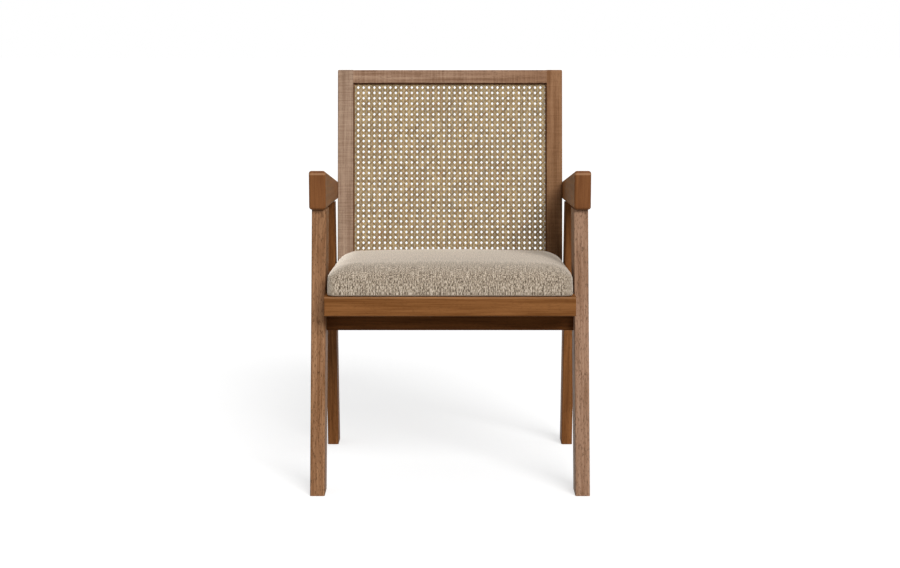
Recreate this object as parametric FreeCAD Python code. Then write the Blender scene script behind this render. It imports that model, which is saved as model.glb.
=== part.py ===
import FreeCAD, Part
import math
import os

# An armchair: plank legs that lean towards each other, wedge-shaped arms, a framed cane back
# and an upholstered seat. Sizes are in millimetres and angles in degrees.
# +X is to the right in a front view, +Y to the back and +Z up.
# The origin is on the floor, in the middle of the chair's outer box.

# Whole chair
overall_width = 594.0
overall_depth = 595.0
overall_height = 871.0

# Fits
joint_gap = 0.2                 # round a tenon, dowel, bolt or screw
touch_gap = 0.3                 # between pieces that lie side by side
cut_overrun = 5.0               # how far a cutting solid runs past a face

# Legs
front_leg_thickness = 30.7
front_foot_depth = 66.0
front_head_depth = 92.0
front_leg_lean = 131.0          # how far the front edge goes back on its way up to the arm
rear_leg_thickness = 25.0
rear_foot_depth = 64.0
rear_head_depth = 58.0
rear_leg_lean = 79.0            # how far the front edge comes forward on its way up to the arm
rear_leg_stand = 56.4           # in front of the back, at the height of the back's foot
leg_edge_radius = 3.5
leg_tenon_thickness = 12.0
leg_tenon_height = 26.0
leg_tenon_shoulder = 12.0

# Arms
arm_width = 35.5
arm_underside_height = 588.0    # at the front end
arm_underside_fall = 17.3       # from the front end to the rear end
arm_front_thickness = 82.5
arm_rear_thickness = 42.4
arm_overhang = 14.0             # past the front of the leg
arm_edge_radius = 6.0
arm_dowel_radius = 4.0
arm_dowel_length = 34.0
arm_dowel_spacing = 16.0

# Back frame
back_recline = 9.0
stile_foot_height = 352.0
stile_width = 36.0
stile_depth = 28.0
top_rail_height = 30.0
bottom_rail_height = 30.0
bottom_rail_rise = 52.0         # from the foot of the stiles
back_edge_radius = 3.0
back_tenon_length = 24.0
back_tenon_thickness = 10.0
back_tenon_shoulder = 5.0

# Cane panel, held against a lip by four thin beads
panel_recess = 8.0
panel_lip = 3.0
bead_width = 3.0
bead_edge_radius = 1.0
cane_thickness = 2.4
cane_cell = 25.0                # two meshes of the half-inch weave
cane_opening = 10.0             # across the flats of an eight-sided gap
cane_opening_sides = 8

# Seat frame
seat_tilt = 2.5
seat_front_height = 415.5       # top of the front rail
seat_front_setback = 29.0       # behind the toes
rail_height = 40.5
rail_thickness = 25.0
rail_edge_radius = 3.0
rail_tenon_length = 14.0
rail_tenon_thickness = 12.0
rail_tenon_shoulder = 8.0
corner_block_length = 52.0
corner_block_height = 20.0

# Stretchers under the seat frame
stretcher_height = 40.0
stretcher_thickness = 26.0
stretcher_edge_radius = 2.0
front_stretcher_inset = 38.0    # behind the leg's front edge
rear_stretcher_inset = 17.0
stretcher_tenon_length = 16.0
stretcher_tenon_thickness = 12.0
stretcher_tenon_shoulder = 6.0

# Upholstered seat
cushion_side_gap = 7.5          # between the cushion and a leg
cushion_height = 72.0
cushion_setback = 3.0           # behind the front rail's face
cushion_back_gap = 3.0
cushion_corner_radius = 26.0
cushion_tuck = 2.5              # how far the sides draw in at the bottom
cushion_band = 16.0             # height of the tucked bottom edge
cushion_roll = 27.0             # radius of the rolled top edge at the front and rear
cushion_side_roll = 42.0        # the same at the sides
cushion_crown = 5.0             # rise of the top above the rolled edge, from side to side
cushion_long_crown = 8.0        # the same from front to rear, trimmed by the other
cover_thickness = 1.5
cover_return = 26.0             # cloth turned in under the board
cover_mouth_radius = 8.0        # corners of the opening that the turned-in cloth leaves
board_thickness = 12.0
dust_cover_thickness = 0.8

# Fasteners
peg_sides = 10
bolt_radius = 3.0
bolt_head_radius = 5.5
bolt_head_height = 3.5
bolt_drop = 30.0                # below the top of the seat rails
front_bolt_inset = 18.0         # behind the leg's front edge
rear_bolt_inset = 20.0
washer_radius = 7.0
washer_thickness = 1.5
insert_radius = 5.0
insert_length = 16.0
screw_radius = 2.2
screw_head_radius = 4.5
screw_head_height = 3.0
seat_screw_bite = 9.0           # into the board
seat_screw_inset = 20.0         # from the two rails
stretcher_screw_bite = 18.0     # into the seat rail
stretcher_screw_recess = 14.0

# Places that follow from the sizes
half_clear = overall_width / 2 - arm_width
toe_y = -overall_depth / 2
recline = math.radians(back_recline)
tilt = math.radians(seat_tilt)
stile_length = (overall_height - stile_foot_height) / math.cos(recline)
stile_foot_y = overall_depth / 2 - stile_length * math.sin(recline) - stile_depth * math.cos(recline)
heel_y = (stile_foot_y - rear_leg_stand + rear_foot_depth
          + rear_leg_lean * stile_foot_height / arm_underside_height)
arm_front_y = toe_y + front_leg_lean - arm_overhang
arm_end_height = arm_underside_height - arm_underside_fall + arm_rear_thickness / 2
arm_end_y = (stile_foot_y + (arm_end_height - stile_foot_height) * math.tan(recline)
             + stile_depth / math.cos(recline))
arm_slope = arm_underside_fall / (arm_end_y - arm_front_y)
seat_y = toe_y + seat_front_setback
opening_half_width = half_clear - stile_width
opening_bottom = bottom_rail_rise + bottom_rail_height
opening_top = stile_length - top_rail_height
lip_front = panel_recess + cane_thickness
rail_middle = half_clear - rail_thickness / 2
cushion_width = 2 * (half_clear - cushion_side_gap)

across = FreeCAD.Vector(1, 0, 0)
upward = FreeCAD.Vector(0, 0, 1)
back_place = FreeCAD.Placement(FreeCAD.Vector(0, stile_foot_y, stile_foot_height),
                               FreeCAD.Rotation(across, -back_recline))
seat_place = FreeCAD.Placement(FreeCAD.Vector(0, seat_y, seat_front_height),
                               FreeCAD.Rotation(across, -seat_tilt))


# Helpers

def placed(shape, place):
    """A copy of a shape, carried from its own frame to the chair's."""
    copy = shape.copy()
    copy.Placement = place.multiply(copy.Placement)
    return copy


def mirrored(shape):
    """The same piece on the other side of the chair."""
    return shape.mirror(FreeCAD.Vector(0, 0, 0), across)


def both_sides(shape):
    """A piece and its mirror image as one group."""
    return Part.makeCompound([shape, mirrored(shape)])


def block(x_range, y_range, z_range, grow=0):
    """A square-edged solid, grown on all sides for a mortise."""
    low = [ends[0] - grow for ends in (x_range, y_range, z_range)]
    high = [ends[1] + grow for ends in (x_range, y_range, z_range)]
    size = [far - near for near, far in zip(low, high)]
    return Part.makeBox(*size, FreeCAD.Vector(*low))


def side_prism(outline, x_range):
    """A (y, z) outline carried across the chair."""
    corners = [FreeCAD.Vector(x_range[0], y, z) for y, z in outline]
    face = Part.Face(Part.makePolygon(corners + corners[:1]))
    return face.extrude(across * (x_range[1] - x_range[0]))


def around(middle, size):
    """The two ends of a size centred on a place."""
    return (middle - size / 2, middle + size / 2)


def end_to_end(edge):
    """The vector from one end of an edge to the other."""
    return edge.Vertexes[-1].Point - edge.Vertexes[0].Point


def eased(shape, radius, wanted):
    """Round the edges that a test picks out."""
    return shape.makeFillet(radius, [edge for edge in shape.Edges if wanted(edge)])


def peg(radius, length, base, axis):
    """A many-sided pin, or the hole for one, from its base along an axis."""
    side = FreeCAD.Vector(0, 1, 0)
    other = axis.cross(side)
    turns = [2 * math.pi * corner / peg_sides for corner in range(peg_sides)]
    ring = [base + (side * math.cos(turn) + other * math.sin(turn)) * radius for turn in turns]
    return Part.Face(Part.makePolygon(ring + ring[:1])).extrude(axis * length)


def headed_pin(base, axis, head, shank):
    """A fastener from the outer face of its head; head and shank are (radius, length)."""
    head_radius, head_length = head
    shank_radius, shank_length = shank
    shaft = peg(shank_radius, head_length + shank_length, base, axis)
    return peg(head_radius, head_length, base, axis).fuse(shaft).removeSplitter()


def to_seat(y, z):
    """A (y, z) place of the chair, as the tilted seat frame sees it."""
    local = seat_place.inverse().multVec(FreeCAD.Vector(0, y, z))
    return local.y, local.z


def back_face_on_seat(z):
    """Where the front face of the back crosses a height of the seat frame."""
    foot_y, foot_z = to_seat(stile_foot_y, stile_foot_height)
    return foot_y + (z - foot_z) * math.tan(recline - tilt)


# Legs and arms

def front_leg_edges():
    """The foot place and the lean of a front leg's front and rear edges."""
    rear_lean = front_leg_lean + front_head_depth - front_foot_depth
    return ((toe_y, front_leg_lean), (toe_y + front_foot_depth, rear_lean))


def rear_leg_edges():
    """The foot place and the lean of a rear leg's front and rear edges."""
    rear_lean = rear_foot_depth - rear_head_depth + rear_leg_lean
    return ((heel_y - rear_foot_depth, -rear_leg_lean), (heel_y, -rear_lean))


def edge_at(edge, z):
    """How far back a leg's edge is at a height."""
    foot_y, lean = edge
    return foot_y + lean * z / arm_underside_height


def edge_on_seat(edge, drop):
    """Where a leg's edge crosses a line that runs a drop below the top of the seat frame."""
    foot = to_seat(edge_at(edge, 0), 0)
    head = to_seat(edge_at(edge, arm_underside_height), arm_underside_height)
    share = (-drop - foot[1]) / (head[1] - foot[1])
    return foot[0] + (head[0] - foot[0]) * share


def arm_underside(y):
    """Height of the arm's sloping underside."""
    return arm_underside_height - arm_slope * (y - arm_front_y)


def edge_head(edge):
    """Where a leg's edge meets the underside of the arm."""
    foot_y, lean = edge
    height = arm_underside(foot_y) / (1 + arm_slope * lean / arm_underside_height)
    return edge_at(edge, height), height


def leg_tenon(edges, thickness, gap=0, sink=0):
    """The tongue on a leg's head; the gap and sink turn it into its mortise."""
    y_front = edge_head(edges[0])[0] + leg_tenon_shoulder - gap
    y_rear = edge_head(edges[1])[0] - leg_tenon_shoulder + gap
    rise = leg_tenon_height + gap
    outline = [(y_front, arm_underside(y_front) - sink), (y_rear, arm_underside(y_rear) - sink),
               (y_rear, arm_underside(y_rear) + rise), (y_front, arm_underside(y_front) + rise)]
    return side_prism(outline, around(half_clear + thickness / 2, leg_tenon_thickness + 2 * gap))


def leg(edges, thickness, bolt_inset, stretcher_inset):
    """A right-hand plank leg with a tenon for the arm, a mortise and a bolt hole."""
    outline = [(edge_at(edges[0], 0), 0), (edge_at(edges[1], 0), 0),
               edge_head(edges[1]), edge_head(edges[0])]
    body = side_prism(outline, (half_clear, half_clear + thickness))
    body = eased(body, leg_edge_radius, lambda edge: abs(end_to_end(edge).z) > rail_height)
    body = body.fuse(leg_tenon(edges, thickness)).removeSplitter()
    body = body.cut(placed(stretcher_tenon(edges, stretcher_inset, joint_gap), seat_place))
    hole_start = bolt_point(edges, bolt_inset, half_clear - cut_overrun)
    insert_hole = peg(insert_radius + joint_gap, insert_length + joint_gap + cut_overrun, hole_start, across)
    return body.cut(placed(insert_hole, seat_place))


def armrest():
    """A right-hand arm: a wedge that thins to the back, with two mortises and two dowel holes."""
    front_top = arm_underside_height + arm_front_thickness
    rear_bottom = arm_underside_height - arm_underside_fall
    outline = [(arm_front_y, arm_underside_height), (arm_end_y, rear_bottom),
               (arm_end_y, rear_bottom + arm_rear_thickness), (arm_front_y, front_top)]
    body = side_prism(outline, (half_clear, overall_width / 2))

    def is_shown(edge):
        return min(vertex.Point.y for vertex in edge.Vertexes) < arm_end_y - arm_edge_radius

    body = eased(body, arm_edge_radius, is_shown)
    body = body.cut(leg_tenon(front_leg_edges(), front_leg_thickness, joint_gap, cut_overrun))
    body = body.cut(leg_tenon(rear_leg_edges(), rear_leg_thickness, joint_gap, cut_overrun))
    return body.cut(placed(arm_dowel_pair(joint_gap), back_place))


def arm_dowel_pair(gap=0):
    """Two dowels between a stile and an arm, or the holes for them."""
    middle_y = stile_depth / 2
    drop = stile_foot_height - arm_end_height
    middle_z = (middle_y * math.sin(recline) - drop) / math.cos(recline)
    start = half_clear - arm_dowel_length / 2 - gap
    dowels = [peg(arm_dowel_radius + gap, arm_dowel_length + 2 * gap,
                  FreeCAD.Vector(start, middle_y, z), across)
              for z in around(middle_z, arm_dowel_spacing)]
    return Part.makeCompound(dowels)


# Back frame, drawn upright in its own frame: x across, y from front to rear, z along the stiles

def back_rail_tenon(z_range, gap=0):
    """The right-hand tenon of a back rail, or its mortise."""
    x_range = (opening_half_width, opening_half_width + back_tenon_length)
    y_range = around(stile_depth / 2, back_tenon_thickness)
    inner = (z_range[0] + back_tenon_shoulder, z_range[1] - back_tenon_shoulder)
    return block(x_range, y_range, inner, gap)


def top_rail_span():
    """Where the top rail lies along the stiles."""
    return (opening_top, stile_length)


def bottom_rail_span():
    """Where the bottom rail lies along the stiles."""
    return (bottom_rail_rise, opening_bottom)


def back_stile():
    """A right-hand stile with a rear lip for the cane, mortises and dowel holes."""
    body = block((opening_half_width, half_clear), (0, stile_depth), (0, stile_length))

    def is_outer(edge):
        return min(vertex.Point.x for vertex in edge.Vertexes) > half_clear - touch_gap

    body = eased(body, back_edge_radius, is_outer)
    lip = block((opening_half_width - panel_lip, opening_half_width), (lip_front, stile_depth),
                (opening_bottom, opening_top))
    body = body.fuse(lip).removeSplitter()
    for span in (top_rail_span(), bottom_rail_span()):
        body = body.cut(back_rail_tenon(span, joint_gap))
    body = body.cut(arm_dowel_pair(joint_gap))
    return placed(body, back_place).cut(placed(stile_tenon(joint_gap), seat_place))


def back_rail(span, lip_span):
    """A rail between the stiles, with a rear lip for the cane and a tenon at each end."""
    body = block((-opening_half_width, opening_half_width), (0, stile_depth), span)
    outer_z = span[1] if lip_span[0] < span[0] else span[0]

    def is_outer(edge):
        runs_across = abs(end_to_end(edge).x) > opening_half_width
        return runs_across and abs(edge.Vertexes[0].Point.z - outer_z) < touch_gap

    body = eased(body, back_edge_radius, is_outer)
    lip_half = opening_half_width - panel_lip
    lip = block((-lip_half, lip_half), (lip_front, stile_depth), lip_span)
    return body.fuse([lip, both_sides(back_rail_tenon(span))]).removeSplitter()


def back_top_rail():
    """The top rail, with its lip below."""
    return back_rail(top_rail_span(), (opening_top - panel_lip, opening_top))


def back_bottom_rail():
    """The bottom rail, with its lip above."""
    return back_rail(bottom_rail_span(), (opening_bottom, opening_bottom + panel_lip))


def cane_panel():
    """The cane as one sheet with a grid of eight-sided gaps, each for four of the fine weave."""
    half_width = opening_half_width - touch_gap
    low = opening_bottom + touch_gap
    high = opening_top - touch_gap
    columns = int((2 * half_width - panel_lip) // cane_cell)
    rows = int((high - low - panel_lip) // cane_cell)
    corners = [FreeCAD.Vector(x, panel_recess, z) for x, z in
               ((-half_width, low), (half_width, low), (half_width, high), (-half_width, high))]
    wires = [Part.makePolygon(corners + corners[:1])]
    gap_radius = cane_opening / 2 / math.cos(math.pi / cane_opening_sides)
    for column in range(columns):
        for row in range(rows):
            middle = FreeCAD.Vector((column - (columns - 1) / 2) * cane_cell, panel_recess,
                                    (low + high) / 2 + (row - (rows - 1) / 2) * cane_cell)
            ring = [middle + FreeCAD.Vector(gap_radius * math.cos(turn), 0, gap_radius * math.sin(turn))
                    for turn in gap_turns()]
            wires.append(Part.makePolygon(ring + ring[:1]))
    sheet = Part.makeFace(wires, "Part::FaceMakerBullseye")
    return sheet.extrude(FreeCAD.Vector(0, cane_thickness, 0))


def gap_turns():
    """Angles of the corners of an eight-sided gap, with its flats level and upright."""
    return [2 * math.pi * (corner + 1 / 2) / cane_opening_sides for corner in range(cane_opening_sides)]


def bead(x_range, z_range):
    """A thin strip that holds an edge of the cane against the lip."""
    strip = block(x_range, (panel_recess - bead_width, panel_recess), z_range)
    longest = max(edge.Length for edge in strip.Edges)

    def is_front(edge):
        at_front = max(vertex.Point.y for vertex in edge.Vertexes) < panel_recess - bead_width / 2
        return at_front and edge.Length > longest / 2

    return eased(strip, bead_edge_radius, is_front)


def side_bead():
    """The right-hand bead, from rail to rail."""
    return bead((opening_half_width - bead_width, opening_half_width), (opening_bottom, opening_top))


def level_bead(z_range):
    """A bead along a rail, between the side beads."""
    reach = opening_half_width - bead_width
    return bead((-reach, reach), z_range)


# Seat frame, drawn level in its own frame: y runs back from the front rail's face, z = 0 is its top

def rail_tenon(x_range, y_range, gap=0):
    """A seat rail's tenon, or its mortise."""
    return block(x_range, y_range, (rail_tenon_shoulder - rail_height, -rail_tenon_shoulder), gap)


def front_tenon(gap=0):
    """The tenon of the right-hand rail in the front rail."""
    return rail_tenon(around(rail_middle, rail_tenon_thickness),
                      (rail_thickness - rail_tenon_length, rail_thickness), gap)


def stile_tenon(gap=0):
    """The tenon of the right-hand rail in the stile."""
    near = back_face_on_seat(-rail_height)
    far = back_face_on_seat(-rail_height / 2) + rail_tenon_length
    return rail_tenon(around(rail_middle, rail_tenon_thickness), (near, far), gap)


def rear_rail_span():
    """The rear rail stands just in front of the back."""
    rear = back_face_on_seat(-rail_height) - touch_gap
    return (rear - rail_thickness, rear)


def rear_tenon(gap=0):
    """The tenon of the rear rail in the right-hand rail."""
    start = half_clear - rail_thickness
    middle = sum(rear_rail_span()) / 2
    return rail_tenon((start, start + rail_tenon_length), around(middle, rail_tenon_thickness), gap)


def front_seat_rail():
    """The rail across the front, with its front edges rounded."""
    body = block((-half_clear, half_clear), (0, rail_thickness), (-rail_height, 0))

    def is_front(edge):
        return max(vertex.Point.y for vertex in edge.Vertexes) < touch_gap

    return eased(body, rail_edge_radius, is_front).cut(both_sides(front_tenon(joint_gap)))


def rear_seat_rail():
    """The rail across the rear, tenoned into the side rails."""
    reach = half_clear - rail_thickness
    body = block((-reach, reach), rear_rail_span(), (-rail_height, 0))
    return body.fuse(both_sides(rear_tenon())).removeSplitter()


def side_seat_rail():
    """The right-hand rail, cut to the slope of the back, with its tenons, mortise and holes."""
    outline = [(rail_thickness, -rail_height), (back_face_on_seat(-rail_height), -rail_height),
               (back_face_on_seat(0), 0), (rail_thickness, 0)]
    body = side_prism(outline, (half_clear - rail_thickness, half_clear))
    body = body.fuse([front_tenon(), stile_tenon()]).removeSplitter()
    body = body.cut(rear_tenon(joint_gap))
    for edges, bolt_inset, stretcher_inset in leg_sets():
        start = bolt_point(edges, bolt_inset, half_clear - rail_thickness - cut_overrun)
        body = body.cut(peg(bolt_radius + joint_gap, rail_thickness + 2 * cut_overrun, start, across))
        body = body.cut(stretcher_screw(edges, stretcher_inset, joint_gap))
    return body


def leg_sets():
    """What each right-hand leg gives to the seat frame: its edges, bolt place and stretcher place."""
    return ((front_leg_edges(), front_bolt_inset, front_stretcher_inset),
            (rear_leg_edges(), rear_bolt_inset, rear_stretcher_inset))


def corner_block(y_corner, y_step):
    """A right-hand glue block in a corner of the seat frame, drilled for its screw."""
    x_corner = half_clear - rail_thickness
    corners = [FreeCAD.Vector(x, y, -corner_block_height) for x, y in
               ((x_corner, y_corner), (x_corner - corner_block_length, y_corner),
                (x_corner, y_corner + y_step * corner_block_length))]
    body = Part.Face(Part.makePolygon(corners + corners[:1])).extrude(upward * corner_block_height)
    return body.cut(seat_screw(y_corner, y_step, joint_gap))


def block_corners():
    """The front and rear corners of the seat frame, and which way their blocks reach."""
    return ((rail_thickness, 1), (rear_rail_span()[0], -1))


# Stretchers

def stretcher_span(edges, inset):
    """Where a stretcher lies between a pair of legs, measured at its middle height."""
    front = edge_on_seat(edges[0], rail_height + stretcher_height / 2) + inset
    return (front, front + stretcher_thickness)


def stretcher_tenon(edges, inset, gap=0):
    """The tenon of a stretcher in the right-hand leg, or its mortise."""
    middle = sum(stretcher_span(edges, inset)) / 2
    z_range = (stretcher_tenon_shoulder - rail_height - stretcher_height,
               -rail_height - stretcher_tenon_shoulder)
    return block((half_clear, half_clear + stretcher_tenon_length),
                 around(middle, stretcher_tenon_thickness), z_range, gap)


def stretcher(edges, inset):
    """A bar between two legs that carries the seat frame."""
    body = block((-half_clear, half_clear), stretcher_span(edges, inset),
                 (-rail_height - stretcher_height, -rail_height))

    def is_lower(edge):
        low = max(vertex.Point.z for vertex in edge.Vertexes) < -rail_height - stretcher_height / 2
        return low and edge.Length > half_clear

    body = eased(body, stretcher_edge_radius, is_lower)
    body = body.fuse(both_sides(stretcher_tenon(edges, inset))).removeSplitter()
    sink = stretcher_screw_recess + cut_overrun
    return body.cut(both_sides(stretcher_screw(edges, inset, joint_gap, sink)))


# Upholstery

def cushion_span():
    """Where the cushion lies from front to rear."""
    return (cushion_setback, back_face_on_seat(0) - cushion_back_gap)


def rolled_outline(low, high, edge_roll, rise, wall, to_point):
    """A crowned outline with tucked lower edges and rolled upper ones, a wall inside the skin."""
    roll_start = cushion_height - cushion_crown - edge_roll
    roll = edge_roll - wall
    bend = roll * math.sqrt(1 / 2)

    def half_points(edge, inward):
        skin = edge + inward * wall
        centre = edge + inward * edge_roll
        return [to_point(skin + inward * cushion_tuck, wall), to_point(skin, cushion_band),
                to_point(skin, roll_start), to_point(centre - inward * bend, roll_start + bend),
                to_point(centre, roll_start + roll)]

    first = half_points(low, 1)
    last = half_points(high, -1)
    crown = to_point((low + high) / 2, roll_start + roll + rise)
    edges = [Part.makePolygon(first[:3]), Part.Arc(*first[2:]).toShape(),
             Part.Arc(first[-1], crown, last[-1]).toShape(), Part.Arc(*last[:1:-1]).toShape(),
             Part.makePolygon(last[2::-1]), Part.makeLine(last[0], first[0])]
    return Part.Face(Part.Wire([edge for part in edges for edge in part.Edges]))


def cushion_form(wall):
    """The crowned cushion: what its front, side and plan outlines have in common."""
    half = cushion_width / 2
    front, rear = cushion_span()
    across_form = rolled_outline(-half, half, cushion_side_roll, cushion_crown, wall,
                                 lambda x, z: FreeCAD.Vector(x, front, z))
    along_form = rolled_outline(front, rear, cushion_roll, cushion_long_crown, wall,
                                lambda y, z: FreeCAD.Vector(-half, y, z))
    form = across_form.extrude(FreeCAD.Vector(0, rear - front, 0))
    form = form.common(along_form.extrude(across * cushion_width))
    return form.common(board_form(wall, cushion_corner_radius - wall, (0, cushion_height)))


def board_form(inset, corner_radius, z_range):
    """A flat sheet with the cushion's round-cornered outline."""
    front, rear = cushion_span()
    half = cushion_width / 2 - inset
    sheet = block((-half, half), (front + inset, rear - inset), z_range)
    tall = z_range[1] - z_range[0]
    return eased(sheet, corner_radius, lambda edge: abs(end_to_end(edge).z) > tall / 2)


def seat_board():
    """The plywood base, drilled for the screws from the corner blocks."""
    inset = cushion_tuck + cover_thickness + touch_gap
    body = board_form(inset, cushion_corner_radius - inset,
                      (cover_thickness, cover_thickness + board_thickness))
    return body.cut(seat_screw_set(joint_gap))


def seat_foam():
    """The crowned foam, glued on the board."""
    front, rear = cushion_span()
    under = block((-cushion_width, cushion_width), (front, rear),
                  (-cut_overrun, cover_thickness + board_thickness))
    return cushion_form(cover_thickness + touch_gap).cut(under)


def seat_cover():
    """The cloth: a skin over the foam that is turned in under the board."""
    skin = cushion_form(0).cut(cushion_form(cover_thickness))
    mouth = board_form(cover_return, cover_mouth_radius, (-cut_overrun, cover_thickness + touch_gap))
    return skin.cut(mouth)


def dust_cover():
    """Thin cloth that closes the underside, inside the turned-in cover."""
    sheet = board_form(cover_return + touch_gap, cover_mouth_radius - touch_gap,
                       (cover_thickness - dust_cover_thickness, cover_thickness))
    return sheet.cut(seat_screw_set(joint_gap))


# Fasteners

def bolt_point(edges, inset, x):
    """A place on the axis of the bolt from the seat rail into a right-hand leg."""
    return FreeCAD.Vector(x, edge_on_seat(edges[0], bolt_drop) + inset, -bolt_drop)


def leg_bolt(edges, inset):
    """A bolt through the right-hand rail, with its head inside the seat frame."""
    start = half_clear - rail_thickness - washer_thickness - bolt_head_height
    length = washer_thickness + rail_thickness + insert_length
    return headed_pin(bolt_point(edges, inset, start), across, (bolt_head_radius, bolt_head_height),
                      (bolt_radius, length))


def leg_washer(edges, inset):
    """The washer under a bolt's head."""
    start = bolt_point(edges, inset, half_clear - rail_thickness - washer_thickness)
    disc = peg(washer_radius, washer_thickness, start, across)
    return disc.cut(peg(bolt_radius + joint_gap, washer_thickness, start, across))


def leg_insert(edges, inset):
    """The threaded sleeve that a bolt runs into."""
    start = bolt_point(edges, inset, half_clear)
    sleeve = peg(insert_radius, insert_length, start, across)
    return sleeve.cut(peg(bolt_radius + joint_gap, insert_length, start, across))


def seat_screw(y_corner, y_step, gap=0):
    """A screw up through a right-hand corner block into the board, or the hole for it."""
    base = FreeCAD.Vector(half_clear - rail_thickness - seat_screw_inset,
                          y_corner + y_step * seat_screw_inset, -corner_block_height - screw_head_height)
    length = corner_block_height + cover_thickness + seat_screw_bite
    return headed_pin(base, upward, (screw_head_radius, screw_head_height),
                      (screw_radius + gap, length + gap))


def seat_screw_set(gap=0):
    """The four screws that hold the upholstered seat."""
    return Part.makeCompound([both_sides(seat_screw(y, step, gap)) for y, step in block_corners()])


def stretcher_screw(edges, inset, gap=0, sink=0):
    """A screw up through the right-hand end of a stretcher, or the stepped hole for it."""
    bottom = -rail_height - stretcher_height + stretcher_screw_recess
    middle = sum(stretcher_span(edges, inset)) / 2
    length = -rail_height - bottom - screw_head_height + stretcher_screw_bite + gap
    return headed_pin(FreeCAD.Vector(rail_middle, middle, bottom - sink), upward,
                      (screw_head_radius + gap, screw_head_height + sink), (screw_radius + gap, length))


def on_all_legs(make):
    """A fastener at each of the four legs, as one group."""
    pieces = [both_sides(make(edges, bolt_inset)) for edges, bolt_inset, _ in leg_sets()]
    return placed(Part.makeCompound(pieces), seat_place)


# Assembly

def paired(name, shape):
    """A right-hand piece and its mirror image under their two names."""
    return {f"right_{name}": shape, f"left_{name}": mirrored(shape)}


def side_frames():
    """Legs and arms."""
    front = leg(front_leg_edges(), front_leg_thickness, front_bolt_inset, front_stretcher_inset)
    rear = leg(rear_leg_edges(), rear_leg_thickness, rear_bolt_inset, rear_stretcher_inset)
    return {**paired("front_leg", front), **paired("rear_leg", rear), **paired("armrest", armrest())}


def back_frame():
    """Stiles, rails, cane and beads."""
    upright = {
        "back_top_rail": back_top_rail(),
        "back_bottom_rail": back_bottom_rail(),
        "cane_panel": cane_panel(),
        "top_cane_bead": level_bead((opening_top - bead_width, opening_top)),
        "bottom_cane_bead": level_bead((opening_bottom, opening_bottom + bead_width)),
        **paired("cane_bead", side_bead()),
    }
    pieces = {name: placed(shape, back_place) for name, shape in upright.items()}
    return {**pieces, **paired("back_stile", back_stile())}


def seat_frame():
    """Rails, corner blocks and stretchers."""
    blocks = [corner_block(y_corner, y_step) for y_corner, y_step in block_corners()]
    level = {
        "front_seat_rail": front_seat_rail(),
        "rear_seat_rail": rear_seat_rail(),
        **paired("seat_rail", side_seat_rail()),
        **paired("front_corner_block", blocks[0]),
        **paired("rear_corner_block", blocks[1]),
        "front_stretcher": stretcher(front_leg_edges(), front_stretcher_inset),
        "rear_stretcher": stretcher(rear_leg_edges(), rear_stretcher_inset),
    }
    return {name: placed(shape, seat_place) for name, shape in level.items()}


def upholstery():
    """The board, foam and cloth of the seat."""
    level = {"seat_board": seat_board(), "seat_foam": seat_foam(),
             "seat_cover": seat_cover(), "dust_cover": dust_cover()}
    return {name: placed(shape, seat_place) for name, shape in level.items()}


def fasteners():
    """Dowels, bolts, sleeves and screws, each kind as one group."""
    stretcher_screws = [both_sides(stretcher_screw(edges, inset)) for edges, _, inset in leg_sets()]
    return {
        "arm_dowels": placed(both_sides(arm_dowel_pair()), back_place),
        "leg_bolts": on_all_legs(leg_bolt),
        "leg_washers": on_all_legs(leg_washer),
        "leg_inserts": on_all_legs(leg_insert),
        "seat_screws": placed(seat_screw_set(), seat_place),
        "stretcher_screws": placed(Part.makeCompound(stretcher_screws), seat_place),
    }


os.makedirs("parts", exist_ok=True)
chair = {**side_frames(), **back_frame(), **seat_frame(), **upholstery(), **fasteners()}
for node, shape in chair.items():
    shape.exportStep(f"parts/{node}.step")
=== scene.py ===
# %% [markdown]
# # An armchair with a cane back and a padded seat
# The wooden frame comes from the construction model as it is, and gets its finishes here. Three things
# are made anew, because a plain solid can't show them: the woven cane, the padded seat and the cloth
# that closes the seat from below. Lengths are in metres, +Z is up and the chair looks towards -Y.

# %% Load the frame
import math

import bmesh
import bpy
import numpy as np
from mathutils import Matrix, Vector


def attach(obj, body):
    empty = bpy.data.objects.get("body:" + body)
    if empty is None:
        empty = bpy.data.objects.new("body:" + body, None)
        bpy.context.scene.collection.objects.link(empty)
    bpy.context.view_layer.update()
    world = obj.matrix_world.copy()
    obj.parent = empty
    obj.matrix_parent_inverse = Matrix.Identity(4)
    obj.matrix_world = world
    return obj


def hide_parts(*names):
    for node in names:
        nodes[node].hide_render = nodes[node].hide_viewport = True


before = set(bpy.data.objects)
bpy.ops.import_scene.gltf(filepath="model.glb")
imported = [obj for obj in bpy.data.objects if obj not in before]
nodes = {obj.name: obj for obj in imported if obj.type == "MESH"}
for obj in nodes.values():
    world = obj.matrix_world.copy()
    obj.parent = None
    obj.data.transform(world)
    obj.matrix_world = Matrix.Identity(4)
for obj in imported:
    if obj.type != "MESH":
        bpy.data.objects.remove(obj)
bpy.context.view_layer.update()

# %% [markdown]
# ## Where things are
# The back leans and the seat slopes, so each is drawn flat in its own frame and then carried to its
# place by one matrix. These are the places of the foot of the back and of the front edge of the seat.

# %% Places of the back and the seat
BACK_LEAN, SEAT_SLOPE = 9.0, 2.5
BACK_FOOT, BACK_HEIGHT = (0, 0.18764, 0.352), 0.5255
SEAT_FRONT = (0, -0.2685, 0.4155)


def tipped(spot, degrees):
    """The place of something that stands on a spot and is tipped back by an angle."""
    return Matrix.Translation(spot) @ Matrix.Rotation(-math.radians(degrees), 4, "X")


def new_object(name, data):
    """A new object in the scene."""
    made = bpy.data.objects.new(name, data)
    bpy.context.scene.collection.objects.link(made)
    return made


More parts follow.
